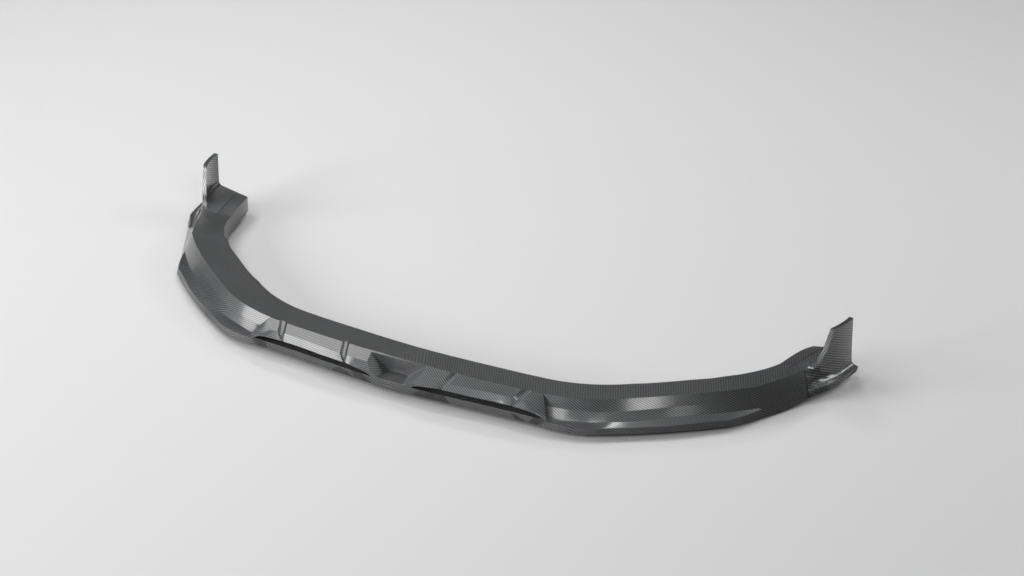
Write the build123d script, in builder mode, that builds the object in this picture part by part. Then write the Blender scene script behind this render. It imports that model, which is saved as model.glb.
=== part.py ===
from build123d import *
from collections import namedtuple
from math import cos, hypot, radians, sin
import os

# Front splitter lip of a car: one long laminated lip and two end winglets, all in millimetres.
# X runs across the car, Y rearwards and Z up. Reaches are measured forwards from the crease.

# Laminate and fit
wall = 3.0
seam_gap = 0.6

# Overall place: the datum line is the crease at the middle of the car
nose_reach = 50.0
rear_back = 588.0
middle_back = (rear_back - nose_reach) / 2

# Heights of the feature lines above the floor
crease_z = 80.0
inner_z = 60.0
deck_z = 37.0
ledge_z = 35.0
lip_z = 31.0
toe_z = 18.0

# Raised blade over the duct slots
brow_reach = 32.0
brow_z = 66.0
blade_z = 50.0

# Duct slot under the blade
slot_depth = 26.0
slot_inner_x = 56.0
slot_outer_x = 404.0

# Centre scoop
scoop_floor_z = 40.0
scoop_back = 4.0
scoop_top_half = 79.5
scoop_floor_half = 27.0
scoop_front_top_half = 108.0
scoop_front_floor_half = 41.0
scoop_round = 14.0
scoop_reach = 60.0
nose_half = 58.0
nose_root_reach = 45.0

# Tapered grooves across the blade: each runs out on the flange behind and ends as a shallow notch
groove_depth = 4.5
groove_front_depth = 2.0
groove_wall_run = 6.0
groove_run_out = 12.0

# Seam round the foot of a winglet
seam_inner_x = 823.0
seam_inner_back = 445.0
seam_inner_z = 60.0
seam_rear_x = 852.0
seam_lean_x = 0.129
seam_lean_y = 0.860
seam_lean_z = -0.492

# Winglet
fin_foot_z = 56.0
fin_top_z = 155.0
fin_thick = 11.0
fin_inset = 0.4
fin_top_back = 516.0

Station = namedtuple("Station", "x back turn flange inner crease brow ledge lip toe foot")


def station(x, back, turn, flange, brow, ledge, lip, toe, inner=inner_z, crease=crease_z, foot=0.0):
    return Station(x, back, turn, flange, inner, crease, brow, ledge, lip, toe, foot)


# Blade sections: brow is the break in the blade, ledge its front edge, lip the deck's front edge
middle = station(0, 0, 0, 98, (brow_reach, brow_z), (46, blade_z), (47.5, deck_z), (47, toe_z))
blade_1 = station(110, 0.5, 0, 100.5, (brow_reach, brow_z), (44.5, blade_z), (44, deck_z), (43, toe_z))
blade_2 = station(220, 5, 0, 102.5, (27, 67), (37, blade_z), (39.5, deck_z), (39, toe_z))
blade_3 = station(310, 11.5, 16, 104, (26, 67), (37, blade_z), (40.5, deck_z), (40, toe_z))
blade_end = station(382, 20, 36.4, 117.5, (30, 63), (51, 47), (52, 36), (54, toe_z))

# Lobe sections: brow is the soft break in the face, ledge the foot of the face
lobe_1 = station(382, 20, 36.4, 117.5, (15, 56), (36, 36), (52, 33), (54, toe_z))
lobe_2 = station(455, 38.5, 18, 101, (14, 54), (27, ledge_z), (55, 32), (58.5, 17), inner=61)
bend = station(528, 70.5, 0, 119.5, (16, 53), (32, ledge_z), (61.5, lip_z), (65.5, 17), inner=62)

# Wing sections
wing_1 = station(572, 101, 20, 99.5, (17, 55), (34, 36), (52.5, 30), (60, 17), inner=63)
wing_2 = station(620, 138, 38, 91, (15.5, 56), (31.5, 37), (56, 30), (60.5, 16.5), inner=64, crease=79)
wing_3 = station(699, 200, 41, 89, (13.5, 56), (27, 36), (52, 29), (58.5, 15), inner=65, crease=79)
corner = station(745, 240, 41.5, 86, (12.5, 56), (25.5, 34), (52.5, 27), (57, 13), inner=65, crease=78.5)

# Side sections, where the lip runs out and the face drops straight to the keel
turn_1 = station(776, 272, 52, 86.5, (11.5, 52.5), (23, 30.5), (37, 25.5), (43.5, 9), inner=65, crease=76.5)
side_1 = station(806, 306, 61.5, 83.5, (10, 51), (20, 26.5), (21.5, 23.5), (30, 5), inner=66, crease=75)
side_2 = station(829, 360, 65, 73, (12.5, 48), (24, 26), (25.5, 23.5), (35.5, 5), inner=62.5, crease=72, foot=3)
side_3 = station(862, 442, 75, 74, (15, 50), (28, 34), (29.5, 31.5), (40, 18), inner=55.5, crease=65, foot=7)
side_4 = station(892, 482, 79, 95, (3.5, 51), (11, 35), (12.5, 33), (22.5, 18), inner=57, crease=65.5, foot=8)
rear_1 = station(908, 518, 84, 104, (1, 52), (5, 35), (6, 33), (16, 17), inner=57, crease=66, foot=9)
rear_2 = station(921, rear_back, 90, 100.5, (0.5, 52), (1.5, 35), (2.5, 33), (10, 11), inner=50, crease=68, foot=11)


def section_plane(place, shift=0.0):
    outward = Vector(sin(radians(place.turn)), -cos(radians(place.turn)), 0)
    across = Vector(-cos(radians(place.turn)), -sin(radians(place.turn)), 0)
    origin = Vector(place.x, place.back - middle_back, 0) + across * shift
    return Plane(origin=origin, x_dir=outward, z_dir=across)


def outline(place):
    return [
        (-place.flange, place.foot),
        (-place.flange, place.inner),
        (0, place.crease),
        place.brow,
        place.ledge,
        place.lip,
        place.toe,
    ]


# Moves each side of an open outline inwards by a distance and joins the moved sides again
def inset(points, distance):
    sides = []
    for (x0, z0), (x1, z1) in zip(points, points[1:]):
        along = Vector(x1 - x0, z1 - z0, 0).normalized()
        inward = Vector(along.Y, -along.X, 0)
        sides.append((Vector(x0, z0, 0) + inward * distance, along))
    corners = []
    for (start, along), (following, ahead) in zip(sides, sides[1:]):
        gap = following - start
        turn = along.X * ahead.Y - along.Y * ahead.X
        run = (gap.X * ahead.Y - gap.Y * ahead.X) / turn
        corners.append((start.X + along.X * run, start.Y + along.Y * run))
    below = 12.0
    first, first_along = sides[0]
    last, last_along = sides[-1]
    first_point = first - first_along * below
    end = last + last_along * (Vector(*points[-1], 0) - Vector(*points[-2], 0)).length
    end_point = end + last_along * below
    return [(first_point.X, first_point.Y)] + corners + [(end_point.X, end_point.Y)]


def lofted(places, shape, shifts=None):
    shifts = shifts or [0.0] * len(places)
    with BuildPart() as body:
        for place, shift in zip(places, shifts):
            with BuildSketch(section_plane(place, shift)):
                with BuildLine():
                    Polyline(*shape(place), close=True)
                make_face()
        loft()
    return body.part


def mirrored(place):
    return place._replace(x=-place.x, turn=-place.turn)


blade_half = [blade_1, blade_2, blade_3, blade_end]
blade_run = [mirrored(place) for place in reversed(blade_half)] + [middle] + blade_half
lobe_run = [lobe_1, lobe_2, bend]
wing_run = [bend, wing_1, wing_2, wing_3, corner]
turn_run = [corner, turn_1, side_1]
side_run = [side_1, side_2, side_3]
rear_run = [side_3, side_4, rear_1, rear_2]


def y_of(back):
    return back - middle_back


# A half space beyond a section plane, as a large block
def beyond(place, shift):
    with BuildPart() as block:
        with BuildSketch(section_plane(place, shift)):
            Rectangle(600, 600)
        extrude(amount=-700)
    return block.part


# Scoop in the middle of the blade, or its outer skin when grown by the wall
def scoop(grow=0.0):
    with BuildPart() as cutter:
        for back, top, floor in (
            (grow - scoop_back, scoop_top_half, scoop_floor_half),
            (-scoop_reach, scoop_front_top_half, scoop_front_floor_half),
        ):
            slope = (top - floor) / (crease_z - scoop_floor_z)
            above = 15.0
            low = scoop_floor_z - grow
            with BuildSketch(Plane.XZ.offset(-y_of(back))):
                with BuildLine():
                    Polyline(
                        (-top - slope * above - grow, crease_z + above),
                        (-floor - grow, low),
                        (floor + grow, low),
                        (top + slope * above + grow, crease_z + above),
                        close=True,
                    )
                make_face()
                fillet(vertices().group_by(Axis.Y)[0], scoop_round)
        loft()
    return cutter.part


# Slot under one side of the blade, or its skin when grown: across, front edge, height of the opening
slot_height = blade_z - deck_z
slot_places = [
    (slot_inner_x, -47.0, 0.06 * slot_height),
    (64.0, -47.3, 0.38 * slot_height),
    (82.0, -47.2, 0.73 * slot_height),
    (108.0, -46.0, slot_height),
    (200.0, -35.5, slot_height),
    (320.0, -26.5, slot_height),
    (366.0, -23.5, 0.95 * slot_height),
    (388.0, -21.5, 0.69 * slot_height),
    (399.0, -20.5, 0.27 * slot_height),
    (slot_outer_x, -20.0, 0.06 * slot_height),
]


def slot(grow=0.0):
    with BuildPart() as cutter:
        for across, back, opening in slot_places:
            with BuildSketch(Plane.YZ.offset(across)):
                with Locations((y_of(back) + slot_depth + grow, deck_z - grow)):
                    Rectangle(
                        slot_depth + grow + 20.0,
                        opening + 2 * grow,
                        align=(Align.MAX, Align.MIN),
                    )
        loft()
    return cutter.part


# One groove: place across, distance back and floor half width at the crease, the break and the edge
outer_groove = [(345.5, 15.5, 5.0), (331.0, -11.5, 3.0), (320.0, -24.0, 0.4)]
inner_groove = [(158.0, 2.0, 4.0), (143.0, -27.5, 2.5), (131.5, -41.5, 0.4)]


def groove(places, grow=0.0):
    heights = (crease_z - groove_depth, brow_z - groove_depth, blade_z - groove_front_depth)
    (x0, back0, half0), (x1, back1, half1), (x2, back2, half2) = places
    rear_rise = groove_run_out * (heights[0] - heights[1]) / (back0 - back1)
    front_reach = 0.5 * (back1 - back2)
    sections = [
        (x0, back0 + groove_run_out, half0, heights[0] + rear_rise),
        (x1, back1, half1, heights[1]),
        (x2 + (x2 - x1) * 0.5, back2 - front_reach, half2, heights[2] - 0.5 * (heights[1] - heights[2])),
    ]
    lean = groove_wall_run / groove_depth
    above = 25.0
    with BuildPart() as cutter:
        for across, back, half, floor_z in sections:
            low_half = half + grow * (hypot(1, lean) - lean)
            high_half = half + lean * above + grow * hypot(1, lean)
            with BuildSketch(Plane.XZ.offset(-y_of(back))):
                with BuildLine():
                    Polyline(
                        (across - low_half, floor_z - grow),
                        (across + low_half, floor_z - grow),
                        (across + high_half, floor_z + above),
                        (across - high_half, floor_z + above),
                        close=True,
                    )
                make_face()
        loft(ruled=True)
    return cutter.part


def both_sides(solid):
    return [solid, mirror(solid, about=Plane.YZ)]


def recesses(grow=0.0):
    with BuildPart() as cutter:
        add(scoop(grow))
        add(both_sides(slot(grow)))
        add(both_sides(groove(outer_groove, grow)))
        add(both_sides(groove(inner_groove, grow)))
    return cutter.part


# The long lip before its recesses, as one closed form
def hull():
    with BuildPart() as body:
        add(lofted(blade_run, outline))
        for run in (lobe_run, wing_run, turn_run, side_run, rear_run):
            add(both_sides(lofted(run, outline)))
    return body.part


# The hollow under the skin, open below, with the ends of the blade left closed
def hollow():
    def inner(place):
        return inset(outline(place), wall)

    # The way through between the blade's hollow and the lobe's, well inside both
    def passage(place):
        return inset(outline(place), 2 * wall)

    with BuildPart() as body:
        add(lofted(blade_run, inner))
        add(both_sides(beyond(blade_end, wall)), mode=Mode.SUBTRACT)
        add(both_sides(lofted([lobe_1, lobe_1], passage, [wall + 1, 0])))
        add(both_sides(lofted(lobe_run, inner)))
        for run in (wing_run, turn_run, side_run, rear_run):
            add(both_sides(lofted(run, inner)))
        add(recesses(wall), mode=Mode.SUBTRACT)
    return body.part


# Everything behind the seam and outboard of the foot flange, where a winglet takes over
def winglet_zone(gap=0.0):
    corner_point = Vector(seam_inner_x, y_of(seam_inner_back), seam_inner_z)
    lean = Vector(seam_lean_x, seam_lean_y, seam_lean_z).normalized()
    seam = Plane(origin=corner_point - lean * gap, z_dir=lean)
    rear_x = seam_rear_x - gap
    front_x = seam_inner_x - (seam_rear_x - seam_inner_x) * 0.5 - gap
    front_back = seam_inner_back - (rear_back - seam_inner_back) * 0.5
    slope = (seam_rear_x - seam_inner_x) / (rear_back - seam_inner_back)
    with BuildPart() as zone:
        with BuildSketch(Plane.XY.offset(-20)):
            with BuildLine():
                Polyline(
                    (front_x, y_of(front_back)),
                    (rear_x + slope * 20, y_of(rear_back) + 20),
                    (1000, y_of(rear_back) + 20),
                    (1000, y_of(front_back)),
                    close=True,
                )
            make_face()
        extrude(amount=250)
        with BuildSketch(seam):
            Rectangle(900, 900)
        extrude(amount=500, mode=Mode.INTERSECT)
    return zone.part


# Front edge of the fin in side view: distance back and height
fin_front = [(455, 64.5), (463, 67), (471, 71.5), (482, 84), (500, 119), (511, 149)]


def fin():
    with BuildPart() as blade:
        with BuildSketch(Plane.XY.offset(fin_foot_z)):
            with BuildLine():
                crease_points = [(place.x - fin_inset, y_of(place.back)) for place in (side_3, rear_1, rear_2)]
                outer = ThreePointArc(*crease_points)
                inner_points = []
                for share in (0, 0.5, 1):
                    inwards = (outer % share).rotate(Axis.Z, 90)
                    inner_points.append(outer @ share + inwards * fin_thick)
                inner = ThreePointArc(*inner_points)
                Line(outer @ 0, inner @ 0)
                Line(outer @ 1, inner @ 1)
            make_face()
        extrude(amount=fin_top_z - fin_foot_z)
        with BuildSketch(Plane.YZ):
            with BuildLine():
                front = Spline(*[(y_of(back), height) for back, height in fin_front])
                Polyline(
                    front @ 1,
                    (y_of(fin_top_back), fin_top_z),
                    (y_of(rear_back), fin_top_z),
                    (y_of(rear_back), fin_foot_z),
                    (y_of(fin_front[0][0] - 5), fin_foot_z),
                    front @ 0,
                )
            make_face()
        extrude(amount=1200, mode=Mode.INTERSECT)
    return blade.part


# Cove along the inner foot of the fin: distance back, face of the fin, flange height, radius
cove_places = [
    (484, 881.0, 64.0, 6.0),
    (518, 896.8, 63.7, 11.0),
    (552, 904.8, 63.6, 12.5),
    (rear_back, 909.8, 63.6, 12.5),
]


def cove():
    with BuildPart() as body:
        for back, face_x, top, size in cove_places:
            centre_x, centre_z = face_x - size, top + size
            curve = [
                (centre_x + size * sin(radians(angle)), centre_z - size * cos(radians(angle)))
                for angle in (0, 30, 60, 90)
            ]
            with BuildSketch(Plane.XZ.offset(-y_of(back))):
                with BuildLine():
                    Polyline(*curve, (face_x + 3, centre_z), (face_x + 3, top - 1.5), (centre_x, top - 1.5), close=True)
                make_face()
        loft(ruled=True)
    return body.part


# Small ledge that curls out of the winglet's foot: distance back, root, edge and foot, edge and foot heights
canard_places = [
    (415, 877.0, 889.0, 895.0, 26.0, 19.5),
    (436, 878.0, 901.0, 908.5, 31.0, 21.0),
    (458, 885.0, 916.0, 920.0, 32.0, 22.0),
    (500, 898.0, 927.0, 930.5, 29.2, 20.0),
    (544, 908.0, 934.5, 934.8, 27.4, 15.0),
    (rear_back, 914.0, 940.5, 936.0, 26.0, 11.0),
]

# Curl of the ledge's upper face: share of its width out from the root, share of its width above the edge
canard_curl = [(0, 0.75), (0.27, 0.35), (0.6, 0.1)]


def canard():
    with BuildPart() as ledge:
        for back, root, edge_x, low_x, edge_z, low_z in canard_places:
            width = edge_x - root
            curl = [(root + width * out, edge_z + width * up) for out, up in canard_curl]
            with BuildSketch(Plane.XZ.offset(-y_of(back))):
                with BuildLine():
                    Polyline(*curl, (edge_x, edge_z), (low_x, low_z), (root, low_z + 1), close=True)
                make_face()
        loft(ruled=True)
    return ledge.part


# Round front of the middle, from slot to slot under the scoop
def nose():
    with BuildPart() as front:
        with BuildSketch(Plane.XY.offset(toe_z)):
            with BuildLine():
                arc = ThreePointArc(
                    (-nose_half, y_of(-nose_root_reach)),
                    (0, y_of(-nose_reach)),
                    (nose_half, y_of(-nose_root_reach)),
                )
                Polyline(arc @ 1, (nose_half, y_of(-30)), (-nose_half, y_of(-30)), arc @ 0)
            make_face()
        extrude(amount=blade_z - toe_z)
        add(scoop(), mode=Mode.SUBTRACT)
        inner = lofted(blade_run, lambda place: inset(outline(place), wall / 2))
        add(inner, mode=Mode.SUBTRACT)
    return front.part


with BuildPart() as main_lip:
    add(hull())
    add(recesses(), mode=Mode.SUBTRACT)
    add(nose())
    add(hollow(), mode=Mode.SUBTRACT)
    add(both_sides(winglet_zone(seam_gap)), mode=Mode.SUBTRACT)
main_lip.part.label = "main_lip"

with BuildPart() as right_winglet:
    for run in (side_run, rear_run):
        add(lofted(run, outline))
    add(fin())
    add(cove())
    add(canard())
    for run in (side_run, rear_run):
        add(lofted(run, lambda place: inset(outline(place), wall)), mode=Mode.SUBTRACT)
    add(winglet_zone(), mode=Mode.INTERSECT)
right_winglet.part.label = "right_winglet"

with BuildPart() as left_winglet:
    add(mirror(right_winglet.part, about=Plane.YZ), clean=False)
left_winglet.part.label = "left_winglet"

os.makedirs("parts", exist_ok=True)
for piece in (main_lip, right_winglet, left_winglet):
    export_step(piece.part, f"parts/{piece.part.label}.step")
    print(piece.part.label, "exported")
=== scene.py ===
import math
import bmesh
import bpy
import numpy as np
from mathutils import Matrix, Vector
from mathutils.bvhtree import BVHTree


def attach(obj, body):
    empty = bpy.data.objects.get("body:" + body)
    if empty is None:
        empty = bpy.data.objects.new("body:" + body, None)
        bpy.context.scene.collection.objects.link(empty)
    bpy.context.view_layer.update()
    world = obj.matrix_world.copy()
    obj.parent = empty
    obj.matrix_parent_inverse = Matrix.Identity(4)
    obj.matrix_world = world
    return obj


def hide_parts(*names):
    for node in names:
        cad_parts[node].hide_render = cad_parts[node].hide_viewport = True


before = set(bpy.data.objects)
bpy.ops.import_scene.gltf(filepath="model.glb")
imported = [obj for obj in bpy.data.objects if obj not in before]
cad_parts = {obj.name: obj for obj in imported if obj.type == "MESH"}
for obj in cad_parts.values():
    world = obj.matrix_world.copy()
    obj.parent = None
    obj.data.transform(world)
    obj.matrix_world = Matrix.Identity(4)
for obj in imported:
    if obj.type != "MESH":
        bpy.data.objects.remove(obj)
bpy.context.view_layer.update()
scene = bpy.context.scene
scene.view_settings.view_transform = "Standard"
print("frame loaded:", len(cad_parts), "nodes")


def facingMatrix(across, upward, backward):
    # a camera and a lamp both look along their own -Z
    return Matrix((across, upward, backward)).transposed().to_4x4()


# camera where the photograph was taken from, in metres and degrees
cameraView = {
    "place": (3.699, -6.331, 4.113),
    "azimuth": 29.22,
    "elevation": 28.43,
    "lens": 119.53,         # lens and sensor in millimetres
    "sensorWidth": 36.0,
    "nearest": 0.1,
    "furthest": 60.0,
}


def makeCamera(view):
    camera = bpy.data.cameras.new("photoCamera")
    camera.lens = view["lens"]
    camera.sensor_width = view["sensorWidth"]
    camera.clip_start = view["nearest"]
    camera.clip_end = view["furthest"]
    holder = bpy.data.objects.new("photoCamera", camera)
    scene.collection.objects.link(holder)
    turn, tip = math.radians(view["azimuth"]), math.radians(view["elevation"])
    ahead = Vector((-math.sin(turn) * math.cos(tip), math.cos(turn) * math.cos(tip), -math.sin(tip)))
    across = Vector((math.cos(turn), math.sin(turn), 0))
    upward = across.cross(ahead)
    holder.matrix_world = Matrix.Translation(view["place"]) @ facingMatrix(across, upward, -ahead)
    scene.camera = holder


makeCamera(cameraView)
print("camera ready")


# small helpers for node trees
def fillInputs(tree, node, values):
    # each value is a plain number or another node's output
    for name, value in values.items():
        if isinstance(value, (int, float)):
            node.inputs[name].default_value = value
        else:
            tree.links.new(value, node.inputs[name])
    return node


def mathNode(tree, operation, *values):
    node = tree.nodes.new("ShaderNodeMath")
    node.operation = operation
    return fillInputs(tree, node, dict(enumerate(values))).outputs[0]


def mixFloat(tree, factor, low, high):
    node = tree.nodes.new("ShaderNodeMix")
    return fillInputs(tree, node, {"Factor": factor, "A": low, "B": high}).outputs["Result"]


def noiseLevel(tree, vector, scale, detail):
    node = tree.nodes.new("ShaderNodeTexNoise")
    return fillInputs(tree, node, {"Vector": vector, "Scale": scale, "Detail": detail}).outputs["Fac"]


def fadeLevel(tree, level, start, end, first=0.0, last=1.0):
    # goes from first to last while the level goes from start to end
    node = tree.nodes.new("ShaderNodeMapRange")
    limits = {"From Min": start, "From Max": end, "To Min": first, "To Max": last}
    return fillInputs(tree, node, {"Value": level, **limits}).outputs["Result"]


def reliefNode(tree, height, strength, depth):
    node = tree.nodes.new("ShaderNodeBump")
    return fillInputs(tree, node, {"Height": height, "Strength": strength, "Distance": depth})


def greyColour(tree, level, shader, tint=(1.0, 1.0, 1.0)):
    tone = tree.nodes.new("ShaderNodeCombineColor")
    for channel in range(3):
        tree.links.new(mathNode(tree, "MULTIPLY", level, tint[channel]), tone.inputs[channel])
    tree.links.new(tone.outputs["Color"], shader.inputs["Base Color"])


# pale studio floor and the faint light of the air round it
studio = {
    "floorSize": 16.0,
    "floorTone": 0.66,
    "floorRoughness": 0.6,
    "grainScale": 220.0,
    "grainDetail": 3.0,
    "grainTone": 0.03,      # share by which the grain darkens and lightens the floor
    "grainStrength": 0.1,
    "grainDepth": 0.001,
    "airTone": (0.94, 0.97, 1.0),
    "airStrength": 0.035,
}


def makeFloor(settings):
    half = settings["floorSize"] / 2
    corners = [(-half, -half, 0), (half, -half, 0), (half, half, 0), (-half, half, 0)]
    mesh = bpy.data.meshes.new("studioFloor")
    mesh.from_pydata(corners, [], [(0, 1, 2, 3)])
    floor = bpy.data.objects.new("studioFloor", mesh)
    scene.collection.objects.link(floor)
    paint = bpy.data.materials.new("paleFloor")
    paint.use_nodes = True
    tree = paint.node_tree
    shader = tree.nodes["Principled BSDF"]
    place = tree.nodes.new("ShaderNodeTexCoord")
    grain = noiseLevel(tree, place.outputs["Object"], settings["grainScale"], settings["grainDetail"])
    darkest = settings["floorTone"] * (1 - settings["grainTone"])
    palest = settings["floorTone"] * (1 + settings["grainTone"])
    greyColour(tree, mixFloat(tree, grain, darkest, palest), shader)
    relief = reliefNode(tree, grain, settings["grainStrength"], settings["grainDepth"])
    fillInputs(tree, shader, {"Roughness": settings["floorRoughness"], "Normal": relief.outputs["Normal"]})
    mesh.materials.append(paint)


def makeAir(settings):
    world = bpy.data.worlds.new("studioAir")
    scene.world = world
    world.use_nodes = True
    ground = world.node_tree.nodes["Background"]
    ground.inputs["Color"].default_value = (*settings["airTone"], 1)
    ground.inputs["Strength"].default_value = settings["airStrength"]


# each lamp: name, direction from the object, distance, width, height, brightness of its face
lamps = [
    ("keyBox", (-0.60, -0.02, 0.79), 4.2, 3.0, 1.6, 5.0),
    ("frontLeftBox", (-0.68, -0.66, 0.30), 7.0, 5.6, 2.4, 8.5),
    ("creaseLeftBox", (-0.42, 0.66, 0.62), 4.4, 0.8, 0.5, 18.0),
    ("creaseRightBox", (-0.13, 0.38, 0.92), 4.4, 0.8, 0.6, 15.0),
    ("cameraBox", (0.58, -0.53, 0.62), 10.0, 2.4, 1.5, 14.0),
    ("frontTopBox", (0.12, -0.72, 0.69), 6.0, 2.0, 0.9, 8.0),
    ("finFrontBox", (-0.43, -0.865, 0.25), 12.0, 2.8, 1.8, 15.0),
    ("canardBox", (0.61, 0.56, 0.56), 4.6, 2.4, 0.5, 9.0),
    ("fillBox", (0.45, 0.45, 0.77), 4.6, 2.6, 2.0, 1.0),
]


def makeLamp(name, heading, distance, width, height, brightness):
    lamp = bpy.data.lights.new(name, "AREA")
    lamp.shape = "RECTANGLE"
    lamp.size = width
    lamp.size_y = height
    lamp.energy = brightness * width * height * math.pi
    holder = bpy.data.objects.new(name, lamp)
    scene.collection.objects.link(holder)
    toward = Vector(heading).normalized()
    across = Vector((0, 0, 1)).cross(toward).normalized()
    upward = toward.cross(across)
    holder.matrix_world = Matrix.Translation(toward * distance) @ facingMatrix(across, upward, toward)


makeFloor(studio)
makeAir(studio)
for lampFacts in lamps:
    makeLamp(*lampFacts)
print("studio ready")


# how the cloth is laid, in metres and degrees
cloth = {
    "creaseLine": [         # the crease of the right half in plan, from the middle to the rear end
        (0.0, -0.269), (0.16, -0.267), (0.24, -0.2625), (0.32, -0.2565), (0.382, -0.249),
        (0.455, -0.2305), (0.528, -0.1985), (0.572, -0.168), (0.62, -0.131), (0.699, -0.069),
        (0.745, -0.029), (0.776, 0.003), (0.806, 0.037), (0.829, 0.091), (0.862, 0.173),
        (0.892, 0.213), (0.908, 0.249), (0.921, 0.319), (0.924, 0.40),
    ],
    "creaseHeight": 0.080,
    "runAlong": {"lip": -1, "winglet": 1},   # which way the cloth runs along the crease
    "flangeStart": 0.001,   # a flat face further behind the crease than this is flange
    "wallStart": 0.02,      # a steep face further behind the crease is the inner wall
    "flatTop": 0.7,         # least share of a flat face's normal upwards or downwards
    "steepSide": 0.5,       # least share of a fin side's normal sideways
    "flangeTurn": 18.0,     # in plan, for the cloth that lies straight over the lip's flange
    "flangeRise": 1.02,     # length down the slope per metre in plan, on the winglets' foot flange
    "finTurn": 20.0,        # for the cloth on the fins' sides
}


def alongAndOut(points, line):
    # distance along the crease and distance out in front of it, for points in plan
    line = np.array(line)
    starts, steps = line[:-1], np.diff(line, axis=0)
    lengths = np.linalg.norm(steps, axis=1)
    reached = np.concatenate([[0], np.cumsum(lengths)])[:-1]
    nearest = np.full(len(points), np.inf)
    along, out = np.zeros(len(points)), np.zeros(len(points))
    for start, step, length, base in zip(starts, steps, lengths, reached):
        ahead = step / length
        gap = points - start
        run = np.clip(gap @ ahead, 0, length)
        side = gap - run[:, None] * ahead
        away = np.linalg.norm(side, axis=1)
        sign = np.sign(gap[:, 0] * ahead[1] - gap[:, 1] * ahead[0])
        closer = away < nearest
        nearest[closer] = away[closer]
        along[closer] = (base + run)[closer]
        out[closer] = (away * sign)[closer]
    return along, out


def turnedAxes(first, second, degrees):
    # the two coordinates of each point, read along axes turned by an angle
    turnCos, turnSin = math.cos(math.radians(degrees)), math.sin(math.radians(degrees))
    return np.column_stack([first * turnCos + second * turnSin, second * turnCos - first * turnSin])


def layCloth(mesh, settings, moulding):
    # gives each corner of the mesh its place on the flat sheet of cloth
    corners = np.zeros(len(mesh.loops), dtype=np.int32)
    mesh.loops.foreach_get("vertex_index", corners)
    places = np.zeros(len(mesh.vertices) * 3)
    mesh.vertices.foreach_get("co", places)
    places = places.reshape(-1, 3)
    folded = np.column_stack([abs(places[:, 0]), places[:, 1]])
    along, out = alongAndOut(folded, settings["creaseLine"])
    along = along * settings["runAlong"][moulding]
    drop = settings["creaseHeight"] - places[:, 2]
    laidOver = {
        "finSide": turnedAxes(places[:, 1], places[:, 2], settings["finTurn"]),
        "lipFlange": turnedAxes(folded[:, 0], folded[:, 1], -settings["flangeTurn"]),
        "wingletFlange": np.column_stack([along, out * settings["flangeRise"]]),
        "innerWall": np.column_stack([along, out - drop]),
        "crease": np.column_stack([along, out + drop]),
    }
    sheet = np.zeros((len(mesh.loops), 2))
    for polygon in mesh.polygons:
        span = slice(polygon.loop_start, polygon.loop_start + polygon.loop_total)
        ids = corners[span]
        behind = -out[ids].mean()
        if moulding == "winglet" and abs(polygon.normal.x) > settings["steepSide"]:
            part = "finSide"
        elif behind > settings["flangeStart"] and abs(polygon.normal.z) > settings["flatTop"]:
            part = moulding + "Flange"
        elif behind > settings["wallStart"]:
            part = "innerWall"
        else:
            part = "crease"
        sheet[span] = laidOver[part][ids]
    layer = mesh.uv_layers.new(name="clothMap")
    layer.data.foreach_set("uv", sheet.astype(np.float32).ravel())


# the soft break along the face of the lobes and wings stays a visible line, in metres and degrees
brow = {"lowest": 0.050, "highest": 0.060, "nearest": 0.009, "furthest": 0.020, "leastAngle": 5.0}


def markBrow(mesh, settings):
    shape = bmesh.new()
    shape.from_mesh(mesh)
    places = np.array([(abs(vert.co.x), vert.co.y) for vert in shape.verts])
    out = alongAndOut(places, cloth["creaseLine"])[1]
    heights = np.array([vert.co.z for vert in shape.verts])
    onLine = (heights > settings["lowest"]) & (heights < settings["highest"])
    onLine &= (out > settings["nearest"]) & (out < settings["furthest"])
    for edge in shape.edges:
        ends = [vert.index for vert in edge.verts]
        if onLine[ends].all() and edge.calc_face_angle(0) > math.radians(settings["leastAngle"]):
            edge.smooth = False
    shape.to_mesh(mesh)
    shape.free()


# faces of the hollow underside have something above them, nothing below, and don't look up
hollow = {
    "lift": 0.0004,         # the rays start this far off the face
    "reach": 0.2,
    "mostUpwards": 0.3,     # greatest share of such a face's normal upwards
}


def hiddenFaces(mesh, settings):
    tree = BVHTree.FromPolygons([v.co for v in mesh.vertices], [p.vertices[:] for p in mesh.polygons])
    hidden = []
    for polygon in mesh.polygons:
        start = polygon.center + polygon.normal * settings["lift"]
        above = tree.ray_cast(start, Vector((0, 0, 1)), settings["reach"])[0]
        below = tree.ray_cast(start, Vector((0, 0, -1)), settings["reach"])[0]
        if above is not None and below is None and polygon.normal.z < settings["mostUpwards"]:
            hidden.append(polygon.index)
    return hidden


# skins: merged copies of the mouldings, smooth where the laminate is smooth
mergeGap = 0.00002          # corners nearer to each other than this, in metres, are one
lipFacts = {"slot": "lip_carbon", "moulding": "lip", "sharpAngle": 22.0}
wingletFacts = {"slot": "winglet_carbon", "moulding": "winglet", "sharpAngle": 28.0}
skins = {
    "lipSkin": {"node": "main_lip", **lipFacts},
    "leftWingletSkin": {"node": "left_winglet", **wingletFacts},
    "rightWingletSkin": {"node": "right_winglet", **wingletFacts},
}


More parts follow.
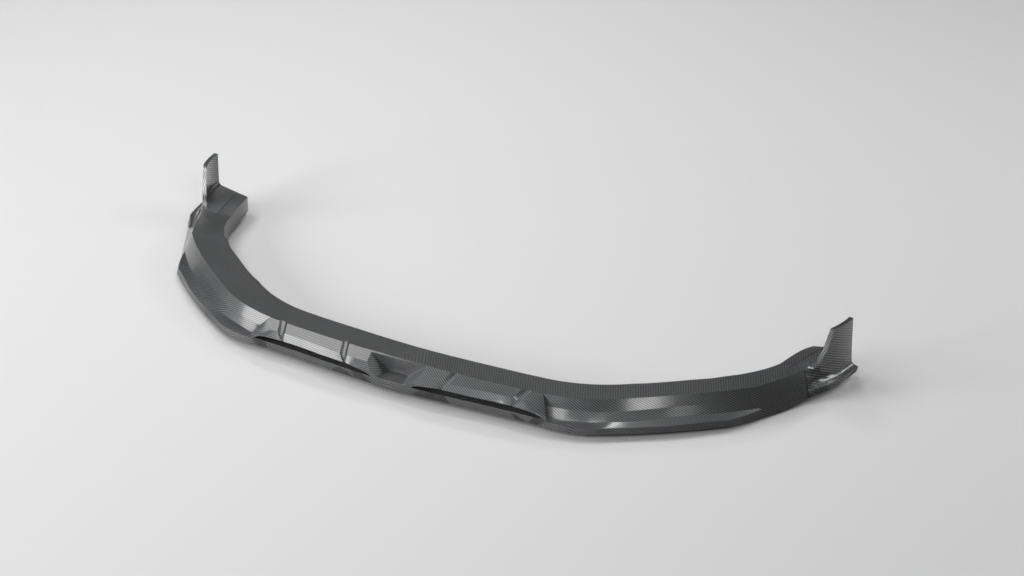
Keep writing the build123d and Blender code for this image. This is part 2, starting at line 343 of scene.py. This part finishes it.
def makeSkin(name, facts):
    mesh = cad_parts[facts["node"]].data.copy()
    mesh.name = name
    mesh.materials.clear()
    for layer in list(mesh.uv_layers):
        mesh.uv_layers.remove(layer)
    if mesh.has_custom_normals:
        mesh.attributes.remove(mesh.attributes["custom_normal"])
    shape = bmesh.new()
    shape.from_mesh(mesh)
    bmesh.ops.remove_doubles(shape, verts=shape.verts, dist=mergeGap)
    shape.to_mesh(mesh)
    shape.free()
    mesh.shade_smooth()
    mesh.set_sharp_from_angle(angle=math.radians(facts["sharpAngle"]))
    markBrow(mesh, brow)
    layCloth(mesh, cloth, facts["moulding"])
    skin = bpy.data.objects.new(name, mesh)
    scene.collection.objects.link(skin)
    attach(skin, "root")
    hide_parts(facts["node"])
    print("skin", name, len(mesh.polygons), "faces")
    return skin


madeSkins = [makeSkin(name, facts) for name, facts in skins.items()]


# 2 by 2 twill: the warp lies on top in two steps out of four, and each row moves on by one step
twillShape = {
    "steps": 4.0,
    "warpOnTop": 1.5,       # the steps below this, so 0 and 1
    "backCurve": 3.4,       # how much the back of a tow falls off across its width
    "alongTow": 0.6,        # steps of filament noise in a tow's width, along the tow and across it
    "acrossTow": 11.0,
    "filamentDetail": 2.0,
}


def twillGroup(settings):
    # puts out which tow lies on top, how its back curves, and the filaments along it
    tree = bpy.data.node_groups.new("twillWeave", "ShaderNodeTree")
    for name, kind in (("Cloth", "NodeSocketVector"), ("Tow", "NodeSocketFloat")):
        tree.interface.new_socket(name, in_out="INPUT", socket_type=kind)
    for name in ("Warp", "Height", "Fibre"):
        tree.interface.new_socket(name, in_out="OUTPUT", socket_type="NodeSocketFloat")
    inside = tree.nodes.new("NodeGroupInput")
    result = tree.nodes.new("NodeGroupOutput")
    apart = tree.nodes.new("ShaderNodeSeparateXYZ")
    tree.links.new(inside.outputs["Cloth"], apart.inputs[0])
    across = mathNode(tree, "DIVIDE", apart.outputs[0], inside.outputs["Tow"])
    upward = mathNode(tree, "DIVIDE", apart.outputs[1], inside.outputs["Tow"])
    column = mathNode(tree, "FLOOR", across)
    row = mathNode(tree, "FLOOR", upward)
    step = mathNode(tree, "FLOORED_MODULO", mathNode(tree, "ADD", column, row), settings["steps"])
    warp = mathNode(tree, "LESS_THAN", step, settings["warpOnTop"])
    inColumn = mathNode(tree, "SUBTRACT", mathNode(tree, "SUBTRACT", across, column), 0.5)
    inRow = mathNode(tree, "SUBTRACT", mathNode(tree, "SUBTRACT", upward, row), 0.5)
    fromMiddle = mixFloat(tree, warp, inRow, inColumn)
    squared = mathNode(tree, "MULTIPLY", fromMiddle, fromMiddle)
    height = mathNode(tree, "SUBTRACT", 1.0, mathNode(tree, "MULTIPLY", squared, settings["backCurve"]))
    # the filaments' noise is drawn out along the tow that lies on top
    fine = tree.nodes.new("ShaderNodeCombineXYZ")
    fineAcross = mixFloat(tree, warp, settings["alongTow"], settings["acrossTow"])
    fineUpward = mixFloat(tree, warp, settings["acrossTow"], settings["alongTow"])
    tree.links.new(mathNode(tree, "MULTIPLY", across, fineAcross), fine.inputs[0])
    tree.links.new(mathNode(tree, "MULTIPLY", upward, fineUpward), fine.inputs[1])
    fibre = noiseLevel(tree, fine.outputs[0], 1.0, settings["filamentDetail"])
    fillInputs(tree, result, {"Warp": warp, "Height": height, "Fibre": fibre})
    return tree


twill = twillGroup(twillShape)


# how the cloth's tone varies, with the filaments and slowly over the moulding
variation = {
    "fibreShare": 0.5,
    "fibreLeast": 0.75,
    "patchShare": 0.3,
    "patchLeast": 0.85,
    "patchScale": 7.0,
    "patchDetail": 2.0,
}


def wovenBase(name, settings, uneven):
    paint = bpy.data.materials.new(name)
    paint.use_nodes = True
    tree = paint.node_tree
    sheet = tree.nodes.new("ShaderNodeUVMap")
    sheet.uv_map = "clothMap"
    woven = tree.nodes.new("ShaderNodeGroup")
    woven.node_tree = twill
    fillInputs(tree, woven, {"Cloth": sheet.outputs["UV"], "Tow": settings["tow"]})
    place = tree.nodes.new("ShaderNodeTexCoord")
    patches = noiseLevel(tree, place.outputs["Object"], uneven["patchScale"], uneven["patchDetail"])
    # painted sheen: the warp tows are painted lighter than the weft, standing in for the sheen that fibres
    # lying one way catch from the lamps; the twill's layout itself is real
    level = mixFloat(tree, woven.outputs["Warp"], settings["weftShadedTone"], settings["warpLitTone"])
    for mask, kind in ((woven.outputs["Fibre"], "fibre"), (patches, "patch")):
        share = mathNode(tree, "MULTIPLY_ADD", mask, uneven[kind + "Share"], uneven[kind + "Least"])
        level = mathNode(tree, "MULTIPLY", level, share)
    return paint, woven, place, level


# painted shade: a dark line is painted along the seam where the winglet's foot meets the lip, standing in for
# the shade in the narrow groove there; a corner of the seam, its lean and its inboard line
seam = {
    "corner": (0.823, 0.176, 0.060),
    "lean": (0.1291, 0.8604, -0.4922),
    "inboard": (-0.980, 0.199, 0.0),
    "fullUntil": 0.0006,    # the dark line fades out between these distances from its middle
    "goneFrom": 0.0014,
}


# the painted shade line along the seam: 1 on the seam, fading to 0 away from it
def shadeAlongSeam(tree, place, settings):
    folded = tree.nodes.new("ShaderNodeVectorMath")
    folded.operation = "ABSOLUTE"
    tree.links.new(place.outputs["Object"], folded.inputs[0])
    apart = tree.nodes.new("ShaderNodeSeparateXYZ")
    tree.links.new(folded.outputs[0], apart.inputs[0])
    still = tree.nodes.new("ShaderNodeSeparateXYZ")
    tree.links.new(place.outputs["Object"], still.inputs[0])
    axes = (apart.outputs[0], still.outputs[1], still.outputs[2])
    distances = []
    for facing, sign in ((settings["lean"], -1.0), (settings["inboard"], 1.0)):
        total = -sign * sum(a * b for a, b in zip(facing, settings["corner"]))
        for axis, part in zip(axes, facing):
            total = mathNode(tree, "MULTIPLY_ADD", axis, sign * part, total)
        distances.append(total)
    edge = mathNode(tree, "ABSOLUTE", mathNode(tree, "MAXIMUM", *distances))
    return fadeLevel(tree, edge, settings["fullUntil"], settings["goneFrom"], first=1.0, last=0.0)


# lacquered twill on the outer side
weave = {
    "tow": 0.0021,          # width of one tow
    # painted sheen: the warp is painted lighter than the weft, though both are the same fibre
    "warpLitTone": 0.12,
    "weftShadedTone": 0.034,
    "tint": (0.98, 1.0, 1.03),
    "metallic": 0.6,
    "roughness": 0.26,
    "fibreRoughness": 0.16,   # added where the filaments' noise is 1
    "lacquer": 0.8,
    "lacquerRoughness": 0.13,
    # painted shade: the seam line is painted nearly black and given little lacquer, standing in for the shade
    # in the groove between lip and winglet
    "seamShadeTone": 0.004,
    "seamShadeCoat": 0.1,
    "edgeRadius": 0.0022,   # how far the lacquer rounds an edge
    "edgeSamples": 6,
    "towStrength": 0.8,
    "towDepth": 0.00028,
}


def lacqueredCarbon(settings):
    paint, woven, place, level = wovenBase("lacqueredTwill", settings, variation)
    tree = paint.node_tree
    shader = tree.nodes["Principled BSDF"]
    # painted shade along the seam between lip and winglet, in the tone and in the lacquer
    seamShadeLevel = shadeAlongSeam(tree, place, seam)
    greyColour(tree, mixFloat(tree, seamShadeLevel, level, settings["seamShadeTone"]), shader, settings["tint"])
    fibre = woven.outputs["Fibre"]
    rounded = tree.nodes.new("ShaderNodeBevel")
    rounded.samples = settings["edgeSamples"]
    rounded.inputs["Radius"].default_value = settings["edgeRadius"]
    relief = reliefNode(tree, woven.outputs["Height"], settings["towStrength"], settings["towDepth"])
    tree.links.new(rounded.outputs["Normal"], relief.inputs["Normal"])
    fillInputs(tree, shader, {
        "Metallic": settings["metallic"],
        "Roughness": mathNode(tree, "MULTIPLY_ADD", fibre, settings["fibreRoughness"], settings["roughness"]),
        "Coat Weight": mixFloat(tree, seamShadeLevel, settings["lacquer"], settings["seamShadeCoat"]),
        "Coat Roughness": settings["lacquerRoughness"],
        "Normal": relief.outputs["Normal"],
    })
    return paint


# the unlacquered inner side, with resin lying unevenly over the cloth
rawSide = {
    "tow": 0.0021,
    # painted sheen: the warp is painted lighter than the weft, though both are the same fibre
    "warpLitTone": 0.022,
    "weftShadedTone": 0.012,
    "roughness": 0.62,
    "resinTone": 0.03,
    "resinRoughness": 0.4,
    "resinHeight": 0.9,     # against the middle of a tow's back, which is 1
    "poolScale": 38.0,
    "poolDetail": 4.0,
    "bareUntil": 0.48,      # the resin thickens between these levels of its noise
    "coveredFrom": 0.66,
    "reliefStrength": 0.6,
    "reliefDepth": 0.0004,
}


def rawCarbon(settings):
    paint, woven, place, level = wovenBase("rawInnerSide", settings, variation)
    tree = paint.node_tree
    shader = tree.nodes["Principled BSDF"]
    pooled = noiseLevel(tree, place.outputs["Object"], settings["poolScale"], settings["poolDetail"])
    resin = fadeLevel(tree, pooled, settings["bareUntil"], settings["coveredFrom"])
    greyColour(tree, mixFloat(tree, resin, level, settings["resinTone"]), shader)
    rough = mixFloat(tree, resin, settings["roughness"], settings["resinRoughness"])
    height = mixFloat(tree, resin, woven.outputs["Height"], settings["resinHeight"])
    relief = reliefNode(tree, height, settings["reliefStrength"], settings["reliefDepth"])
    fillInputs(tree, shader, {"Roughness": rough, "Normal": relief.outputs["Normal"]})
    return paint


lacquered = lacqueredCarbon(weave)
raw = rawCarbon(rawSide)
for skin in madeSkins:
    skin.data.materials.append(lacquered)
    skin.data.materials.append(raw)
    rawIndex = skin.data.materials.find(raw.name)
    for index in hiddenFaces(skin.data, hollow):
        skin.data.polygons[index].material_index = rawIndex
print("materials ready")
